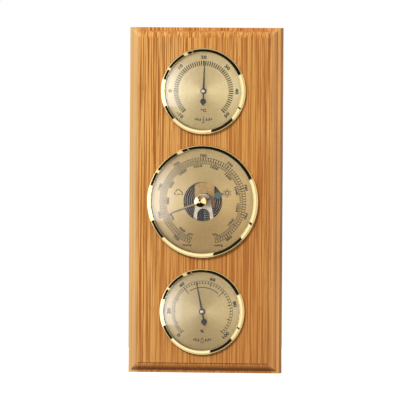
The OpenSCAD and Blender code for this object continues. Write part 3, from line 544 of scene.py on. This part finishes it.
case_black = mottled("case_black", shade(38, 38, 40), shade(62, 61, 60), 1400.0, {"Roughness": 0.4})
rubber = mottled("rubber", shade(30, 29, 28), shade(52, 50, 48), 2600.0, {"Roughness": 0.8})
brass_satin = worn_metal("brass_satin", shade(222, 186, 118), shade(198, 160, 95), 0.25, 0.38)
brass_dark = worn_metal("brass_dark", shade(112, 98, 74), shade(84, 72, 54), 0.3, 0.45)
for dial in dials:
    dress(case_black, dial + "_case")
    dress(rubber, dial + "_grip_band")
    dress(brass_dark, dial + "_spacer")

# Dials: discs of aluminium, spun in fine rings and dyed champagne gold before they are printed.
# The rings spread the lights into two pale fans that meet at the middle. Over the gold lie painted light and
# painted shade: each dial is painted lighter at its upper left and darker at its lower right.
gold_light = shade(240, 216, 154)
gold_dark = shade(231, 205, 142)
light_slope_right = 0.6
light_slope_down = 0.8
light_fall_from = -18 * mm
light_fall_to = 20 * mm


def dial_finish(name, centre_z, head_painted_light, foot_painted_shade):
    """Spun gold with painted light at its upper left and painted shade at its lower right."""
    material, tree, shader = finish_of(
        name, {"Metallic": 1.0, "Anisotropic": 0.85, "Anisotropic Rotation": 0.25})
    colour, roughness = worn(tree, gold_light, gold_dark, 0.36, 0.42, 700.0)
    dial_place = place(tree, "ShaderNodeTexCoord").outputs["Object"]
    at = place(tree, "ShaderNodeSeparateXYZ", {0: dial_place}).outputs
    # Painted light and shade: the colour is lighter at the upper left of the dial and darker at its lower
    # right.
    below = reckon(tree, "MULTIPLY_ADD", at["Z"], -light_slope_down, light_slope_down * centre_z)
    along = reckon(tree, "MULTIPLY_ADD", at["X"], light_slope_right, below)
    painted_light_and_shade = blend_of(tree, spread(tree, along, light_fall_from, light_fall_to), (*head_painted_light, 1), (*foot_painted_shade, 1))
    shaded_gold = place(
        tree, "ShaderNodeMix", {"Factor": 1.0, "A": colour, "B": painted_light_and_shade},
        data_type="RGBA", blend_type="MULTIPLY").outputs["Result"]
    rings = place(tree, "ShaderNodeTangent", direction_type="RADIAL", axis="Y").outputs[0]
    wire(tree, shader, {"Base Color": shaded_gold, "Roughness": roughness, "Tangent": rings})
    return material


# The last two colours are the painted light at the upper left and the painted shade at the lower right.
dress(dial_finish("thermo_gold", thermo_z, (1.15, 1.15, 1.13), (0.93, 0.9, 0.78)), "thermo_dial")
dress(dial_finish("baro_gold", baro_z, (1.0, 0.94, 0.82), (0.75, 0.62, 0.42)), "baro_dial")
dress(dial_finish("hygro_gold", hygro_z, (0.93, 0.91, 0.87), (0.73, 0.66, 0.53)), "hygro_dial")

# Dial print: thin raised ink in a dark brown grey, screened on each dial as scales, plain numbers and small
# signs. The numbers of the upper scale stand outwards, and those at the foot of a dial stand upright.
dial_ink = mottled(
    "dial_ink", shade(12, 9, 5), shade(26, 20, 13), 900.0, {"Roughness": 0.6, "Specular IOR Level": 0.1})
ink_low = 0.99
ink_high = 1.03
ink_weld = 0.0005 * mm
figure_breadth = 1.3
figure_weight = 0.04
foot_from = 200
foot_to = 340


def ink_prism(shape, outline, centre_z):
    """Raises a flat outline of (x, z) points in mm into a thin closed film of ink."""
    low = [shape.verts.new((x * mm, board_front - ink_low * mm, centre_z + z * mm)) for x, z in outline]
    high = [shape.verts.new((x * mm, board_front - ink_high * mm, centre_z + z * mm)) for x, z in outline]
    count = len(outline)
    shape.faces.new(high)
    shape.faces.new(low[::-1])
    for i in range(count):
        k = (i + 1) % count
        shape.faces.new((high[i], low[i], low[k], high[k]))


def tick(shape, degrees, from_r, to_r, width, centre_z):
    """A short radial line."""
    angle = math.radians(degrees)
    out = Vector((math.cos(angle), math.sin(angle)))
    half = Vector((-math.sin(angle), math.cos(angle))) * width / 2
    ink_prism(
        shape, [out * from_r - half, out * to_r - half, out * to_r + half, out * from_r + half], centre_z)


def ink_strip(shape, pairs, centre_z, closed):
    """A line of ink between pairs of (x, z) points in mm, an outer and an inner one."""
    rows = [
        [shape.verts.new((x * mm, board_front - h * mm, centre_z + z * mm))
         for x, z in pair for h in (ink_high, ink_low)]
        for pair in pairs]
    for here, there in zip(rows, rows[1:] + rows[:1] if closed else rows[1:]):
        for a, b in ((0, 1), (1, 3), (3, 2), (2, 0)):
            shape.faces.new((here[a], here[b], there[b], there[a]))
    if not closed:
        shape.faces.new([rows[0][i] for i in (0, 2, 3, 1)])
        shape.faces.new([rows[-1][i] for i in (0, 1, 3, 2)])


def ink_arc(shape, radius, width, from_degrees, to_degrees, centre_z):
    """A curved line of even width, in steps of about 2.5 degrees."""
    count = max(3, round(abs(to_degrees - from_degrees) / 2.5))
    angles = [math.radians(from_degrees + (to_degrees - from_degrees) * i / count) for i in range(count + 1)]
    half = width / 2
    pairs = [
        [(r * math.cos(a), r * math.sin(a)) for r in (radius + half, radius - half)] for a in angles]
    ink_strip(shape, pairs, centre_z, closed=False)


def ink_loop(shape, circles, width, centre_z, steps=72):
    """A closed line of ink, just inside the outline of a heap of circles (x, z and radius in mm)."""
    centre = sum((Vector((x, z)) for x, z, radius in circles), Vector((0, 0))) / len(circles)
    pairs = []
    for step in range(steps):
        out = Vector((math.cos(math.tau * step / steps), math.sin(math.tau * step / steps)))
        reach = 0.0
        for x, z, radius in circles:
            offset = Vector((x, z)) - centre
            along = offset.dot(out)
            inside = radius ** 2 - (offset.length_squared - along ** 2)
            if inside > 0:
                reach = max(reach, along + math.sqrt(inside))
        pairs.append([centre + out * reach, centre + out * (reach - width)])
    ink_strip(shape, pairs, centre_z, closed=True)


def figure(shape, text, radius, degrees, size, centre_z, upright=False):
    """Sets a number or sign on the dial, turned with the scale; near the foot its top points inwards."""
    writing = bpy.data.curves.new("figure", "FONT")
    writing.body = text
    writing.size = size * mm
    writing.align_x = "CENTER"
    writing.align_y = "CENTER"
    writing.extrude = (ink_high - ink_low) / 2 * mm
    writing.resolution_u = 2
    writing.offset = size * figure_weight * mm
    holder = bpy.data.objects.new("figure", writing)
    bpy.context.scene.collection.objects.link(holder)
    flat = holder.to_mesh()
    quarter = 90 if foot_from < degrees % 360 < foot_to else -90
    turn = 0.0 if upright else math.radians(degrees + quarter)
    spot = dial_point(radius, degrees, (ink_low + ink_high) / 2, centre_z)
    flat.transform(Matrix.Diagonal((figure_breadth, 1.0, 1.0, 1.0)))
    flat.transform(
        Matrix.Translation(spot) @ Matrix.Rotation(-turn, 4, "Y") @ Matrix.Rotation(math.pi / 2, 4, "X"))
    shape.from_mesh(flat)
    holder.to_mesh_clear()
    bpy.data.objects.remove(holder)
    bpy.data.curves.remove(writing)


def side_strokes(shape, first_degrees, centre_z):
    """Two short rows of strokes, one on each side of the sign at the foot of a small dial."""
    for side in (-1, 1):
        for step in range(4):
            inner_r = 21.3 if step % 2 else 20.5
            tick(shape, 270 + side * (first_degrees + 3.3 * step), inner_r, 22.6, 0.7, centre_z)


def join_print(name, shape):
    """Closes the film of ink and puts it on its dial."""
    bmesh.ops.remove_doubles(shape, verts=shape.verts, dist=ink_weld)
    bmesh.ops.recalc_face_normals(shape, faces=shape.faces)
    solid_piece(name, shape, dial_ink)


# Thermometer print: degrees Celsius from -10 to 50 on an even scale with 20 at the top.
# A small sign of a thermometer stands at the foot, between two rows of strokes.
small_figure_r = 25.3
small_figure_size = 3.4


def thermo_angle(degree):
    """The place of a temperature on the scale, in degrees from the right."""
    return 90 - 4.5 * (degree - 20)


thermo_print = bmesh.new()
for degree in range(-10, 51):
    tick(thermo_print, thermo_angle(degree), 19.2, 22.8, 0.95 if degree % 10 == 0 else 0.75, thermo_z)
for degree in range(-10, 51, 10):
    figure(thermo_print, str(degree), small_figure_r, thermo_angle(degree), small_figure_size, thermo_z)
figure(thermo_print, "°C", 14.6, 270, 3.0, thermo_z)
ink_loop(thermo_print, [(0, -22.9, 1.1), (0, -19.6, 0.62)], 0.42, thermo_z)
tick(thermo_print, 270, 20.4, 22.9, 0.5, thermo_z)
side_strokes(thermo_print, 6.4, thermo_z)
join_print("thermo_print", thermo_print)


# Hygrometer print: relative humidity from 0 to 100 on an uneven scale between two thin lines.
# An arc marks the comfortable middle, and a small sign of a drop stands at the foot.
def hygro_angle(percent):
    """The place of a relative humidity on the scale, in degrees from the right."""
    share = percent / 100
    return 225 - 270 * share + 60 * share * (1 - share) ** 1.5


comfort = (40, 70)
hygro_print = bmesh.new()
for percent in range(0, 101, 2):
    whole = percent % 10 == 0
    tick(hygro_print, hygro_angle(percent), 19.8 if whole else 20.8, 22.8, 0.6 if whole else 0.45, hygro_z)
for percent in range(0, 101, 20):
    figure(hygro_print, str(percent), small_figure_r, hygro_angle(percent), small_figure_size, hygro_z)
ink_arc(hygro_print, 23.1, 0.25, hygro_angle(0), hygro_angle(100), hygro_z)
ink_arc(hygro_print, 21.4, 0.2, hygro_angle(0), hygro_angle(100), hygro_z)
for percent in comfort:
    tick(hygro_print, hygro_angle(percent), 16.6, 21.0, 0.4, hygro_z)
ink_arc(hygro_print, 18.2, 0.5, hygro_angle(comfort[0]) - 6, hygro_angle(comfort[1]) + 6, hygro_z)
figure(hygro_print, "%", 14.8, 270, 3.0, hygro_z)
ink_loop(hygro_print, [(0, -22.3, 1.35), (0, -21.0, 0.9), (0, -19.9, 0.42)], 0.45, hygro_z)
side_strokes(hygro_print, 7, hygro_z)
join_print("hygro_print", hygro_print)


# Barometer print: millimetres of mercury on the outer scale and hectopascals on the inner one.
# A sun and a cloud stand on the two sides of the opening.
def mercury_angle(pressure):
    """The place of a pressure in millimetres of mercury, in degrees from the right."""
    return 90 - 3.6 * (pressure - 760)


def pascal_angle(pressure):
    """The place of a pressure in hectopascals, in degrees from the right."""
    return 90 - 2.7 * (pressure - 1013.25)


mercury_figure_r = 34.3
pascal_figure_r = 26.6
baro_figure_size = 2.7
baro_print = bmesh.new()
for pressure in range(715, 806):
    tick(baro_print, mercury_angle(pressure), 30.7, 32.7, 0.55 if pressure % 10 else 0.8, baro_z)
for pressure in range(953, 1074):
    tick(baro_print, pascal_angle(pressure), 28.4, 30.3, 0.42 if pressure % 10 else 0.7, baro_z)
for radius in (32.8, 30.5, 28.3):
    ink_arc(baro_print, radius, 0.3, 252, -72, baro_z)
for pressure in range(720, 801, 10):
    figure(baro_print, str(pressure), mercury_figure_r, mercury_angle(pressure), baro_figure_size, baro_z)
for pressure in range(960, 1061, 10):
    figure(baro_print, str(pressure), pascal_figure_r, pascal_angle(pressure), baro_figure_size, baro_z)
for side in (-1, 1):
    figure(baro_print, "hPa", pascal_figure_r, 270 + side * 21, 2.2, baro_z, upright=True)
    figure(baro_print, "mmHg", 35.0, 270 + side * 20, 1.9, baro_z, upright=True)
sun_x = 19.6 * math.cos(math.radians(19))
sun_z = 19.6 * math.sin(math.radians(19))
ink_loop(baro_print, [(sun_x, sun_z, 1.6)], 0.55, baro_z)
for ray in range(12):
    angle = math.tau * ray / 12
    out = Vector((math.cos(angle), math.sin(angle)))
    half = Vector((-math.sin(angle), math.cos(angle))) * 0.24
    near = Vector((sun_x, sun_z)) + out * 2.1
    far = Vector((sun_x, sun_z)) + out * (3.4 if ray % 2 else 2.9)
    ink_prism(baro_print, [near - half, far - half, far + half, near + half], baro_z)
cloud_x = 19.8 * math.cos(math.radians(160))
cloud_z = 19.8 * math.sin(math.radians(160))
cloud_lobes = [(-2.2, -0.9, 1.2), (-0.4, 0.6, 1.7), (1.4, -0.1, 1.4), (2.4, -1.1, 1.0), (0.0, -1.0, 1.1)]
ink_loop(baro_print, [(cloud_x + x, cloud_z + z, r) for x, z, r in cloud_lobes], 0.6, baro_z)
join_print("baro_print", baro_print)

# Small movements: behind each small dial a bracket of brass, riveted to the dial, holds the arbor and the
# coil that turns it. The thermometer's coil is a strip of two metals, the hygrometer's one swells when damp.
bimetal = worn_metal("bimetal", shade(206, 184, 140), shade(180, 156, 112), 0.3, 0.45)
moisture_strip = mottled(
    "moisture_strip", shade(214, 202, 172), shade(232, 224, 200), 800.0, {"Roughness": 0.7})
dress(brass_satin, "thermo_bracket", "hygro_bracket", "thermo_rivets", "hygro_rivets")
dress(bimetal, "thermo_coil")
dress(moisture_strip, "hygro_coil")
dress(steel, "thermo_arbor", "hygro_arbor")

# Small pointers: pierced from thin steel and blued dark, with a drop-shaped weight on the tail.
# A turned hub of silvered brass presses each one on its arbor.
blued_steel = worn_metal("blued_steel", shade(66, 66, 58), shade(44, 44, 42), 0.3, 0.42)
hub_silver = worn_metal("hub_silver", shade(244, 238, 222), shade(228, 218, 196), 0.15, 0.3, spots=300.0)
dress(blued_steel, "thermo_pointer", "hygro_pointer")
dress(hub_silver, "thermo_hub", "hygro_hub")

# Open movement of the barometer: a base plate with the vacuum capsule, a broad C-shaped leaf spring over it,
# a lever, a rocking shaft and a chain to the drum of the arbor, all under an arched bridge on pillars.
spring_brass = worn_metal("spring_brass", shade(202, 164, 96), shade(188, 148, 82), 0.22, 0.3, spots=300.0)
bridge_silver = worn_metal(
    "bridge_silver", shade(240, 226, 196), shade(222, 204, 170), 0.25, 0.36, spots=300.0)
dress(brass_satin, "baro_base_plate", "baro_rocker_bracket", "baro_pillars", "baro_lower_plate",
      "baro_plate_spacers")
dress(steel, "baro_case_screws", "baro_spring_screws", "baro_rocker", "baro_chain", "baro_arbor",
      "baro_hairspring", "baro_bridge_screws", "baro_adjusting_screw")
dress(blued_steel, "baro_lever")
dress(spring_brass, "baro_spring")
dress(bridge_silver, "baro_bridge")

# Capsule: two discs pressed into rings of waves and soldered together at the rim, with the air drawn out.
# A boss and a stud in the middle of each disc hold it to the spring and to the base plate. The troughs between
# the waves carry a painted shade. Heights are in front of the board, so they are below zero here.
wave_pitch = 1.6
wave_depth = 0.45
waves_to = 15.6
rim_r = 16.5
rim_round = 0.1
rim_top = -11.3
rim_foot = -12.1
wave_top = -9.7
wave_foot = -13.7
boss_r = 2.6
boss_land = 0.3
boss_top = -7.0
boss_foot = -14.0
stud_r = 1.2
stud_top = -6.0
stud_foot = -15.95
wave_steps = 120


def turned_solid(profile, centre_z, steps=96, knurl_from=None):
    """Turns a profile that starts and ends on the axis. Beyond knurl_from every second row is cut back."""
    knurl_depth = 0.12
    shape = bmesh.new()
    first = shape.verts.new((0, board_front - profile[0][1] * mm, centre_z))
    last = shape.verts.new((0, board_front - profile[-1][1] * mm, centre_z))
    rings = []
    for step in range(steps):
        row = []
        for r, h in profile[1:-1]:
            cut = knurl_depth if knurl_from and r > knurl_from and step % 2 else 0.0
            row.append(shape.verts.new(dial_point(r - cut, 360 * step / steps, h, centre_z)))
        rings.append(row)
    for here, there in zip(rings, rings[1:] + rings[:1]):
        shape.faces.new((first, here[0], there[0]))
        shape.faces.new((last, there[-1], here[-1]))
        for a in range(len(here) - 1):
            shape.faces.new((here[a], here[a + 1], there[a + 1], there[a]))
    bmesh.ops.recalc_face_normals(shape, faces=shape.faces)
    return shape


def wave_at(radius):
    """How far the disc lies below the crests of its waves, at a radius."""
    return wave_depth / 2 * (1 - math.cos(math.tau * (waves_to - radius) / wave_pitch))


waves_from = boss_r + boss_land
wave_radii = [waves_from + (waves_to - waves_from) * i / wave_steps for i in range(wave_steps + 1)]
upper_waves = [(r, wave_top - wave_at(r)) for r in wave_radii]
lower_waves = [(r, wave_foot + wave_at(r)) for r in reversed(wave_radii)][::4]
capsule_section = (
    [(0.0, stud_top), (stud_r, stud_top), (stud_r, boss_top), (boss_r, boss_top), (boss_r, wave_top)]
    + upper_waves
    + [(waves_to, rim_top), (rim_r - rim_round, rim_top), (rim_r, rim_top - rim_round),
       (rim_r, rim_foot + rim_round), (rim_r - rim_round, rim_foot), (waves_to, rim_foot)]
    + lower_waves
    + [(boss_r, wave_foot), (boss_r, boss_foot), (stud_r, boss_foot), (stud_r, stud_foot), (0.0, stud_foot)])
capsule_metal, capsule_tree, capsule_shader = finish_of("capsule_metal", {"Metallic": 1.0})
capsule_bright, capsule_rough = worn(
    capsule_tree, shade(255, 236, 190), shade(246, 218, 168), 0.34, 0.42, 300.0)
capsule_at = place(capsule_tree, "ShaderNodeTexCoord").outputs["Object"]
from_axis = place(
    capsule_tree, "ShaderNodeVectorMath", {0: capsule_at, 1: (0, 0, baro_z)}, operation="SUBTRACT").outputs[0]
flat_axis = place(
    capsule_tree, "ShaderNodeVectorMath", {0: from_axis, 1: (1, 0, 1)}, operation="MULTIPLY").outputs[0]
ring_r = place(capsule_tree, "ShaderNodeVectorMath", {0: flat_axis}, operation="LENGTH").outputs["Value"]
ring_turn = reckon(
    capsule_tree, "MULTIPLY_ADD", ring_r, -math.tau / (wave_pitch * mm), math.tau * waves_to / wave_pitch)
# Painted shade: the colour goes almost black in the troughs between the waves.
trough_shade = spread(capsule_tree, reckon(capsule_tree, "COSINE", ring_turn), 0.3, -0.3, 0.0, 0.97)
capsule_colour = blend_of(capsule_tree, trough_shade, capsule_bright, shade(30, 20, 12))
wire(capsule_tree, capsule_shader, {"Base Color": capsule_colour, "Roughness": capsule_rough})
capsule = solid_piece(
    "capsule", turned_solid(capsule_section, baro_z), capsule_metal, smooth_angle=50)
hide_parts("baro_capsule")

# Barometer pointer and set hand: the pointer is blued steel with a round weight, the set hand is brass.
# The set hand hangs from a spindle in a bush through the glass. A knurled brass knob outside turns it, and
# the knob's head rises in a polished cone.
light_blued = worn_metal("light_blued_steel", shade(104, 122, 110), shade(82, 100, 92), 0.25, 0.36)
dress(light_blued, "baro_pointer")
dress(brass_satin, "baro_set_hand", "baro_set_bush")
spindle_r = 1.4
neck_r = 2.4
knob_r = 4.8
knob_profile = [
    (0.0, 4.35), (spindle_r, 4.35), (spindle_r, 8.8), (neck_r, 8.8), (neck_r, 10.0), (4.5, 10.0),
    (knob_r, 10.3), (knob_r, 12.4), (4.7, 12.7), (4.45, 12.83), (4.2, 12.86), (2.8, 14.17), (1.4, 15.48),
    (0.12, 16.7), (0.0, 16.75)]
knob = solid_piece(
    "set_knob", turned_solid(knob_profile, baro_z, knurl_from=4.6), brass_polished,
    body="set_hand_body", smooth_angle=35)
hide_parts("baro_set_knob")


# Glasses: shallow domes of clear glass with a ground edge, held under the lip of each bezel.
# The large one is bored in the middle for the bush of the set knob. They don't dim the light on the dials.
def dome_section(edge_r, rise, thick, edge_low, bore_r=0.0, steps=24):
    """The section of a dome, out along its upper face and back along its lower one."""
    bow = (edge_r ** 2 + rise ** 2) / (2 * rise)
    radii = [bore_r + (edge_r - bore_r) * i / steps for i in range(steps + 1)]
    top = [(r, edge_low + thick + math.sqrt(bow ** 2 - r ** 2) - (bow - rise)) for r in radii]
    return top + [(r, h - thick) for r, h in reversed(top)]


def glass_dome(dial, shape):
    """A pane in place of a packed one."""
    pane = solid_piece(dial + "_glass_dome", shape, clear_glass, smooth_angle=40)
    pane.visible_shadow = False
    pane.visible_glossy = False
    pane.visible_diffuse = False
    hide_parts(dial + "_glass")


clear_glass = finish_of("clear_glass", {
    "Base Color": (0.97, 0.98, 0.975, 1), "Roughness": 0.0, "IOR": 1.5, "Transmission Weight": 1.0})[0]
small_dome = dome_section(edge_r=29.85, rise=2.6, thick=1.4, edge_low=2.487)
large_dome = dome_section(edge_r=39.75, rise=3.4, thick=1.4, edge_low=3.189, bore_r=2.0)
glass_dome("thermo", turned_solid(small_dome, thermo_z))
glass_dome("hygro", turned_solid(small_dome, hygro_z))
glass_dome("baro", turned(large_dome, baro_z))
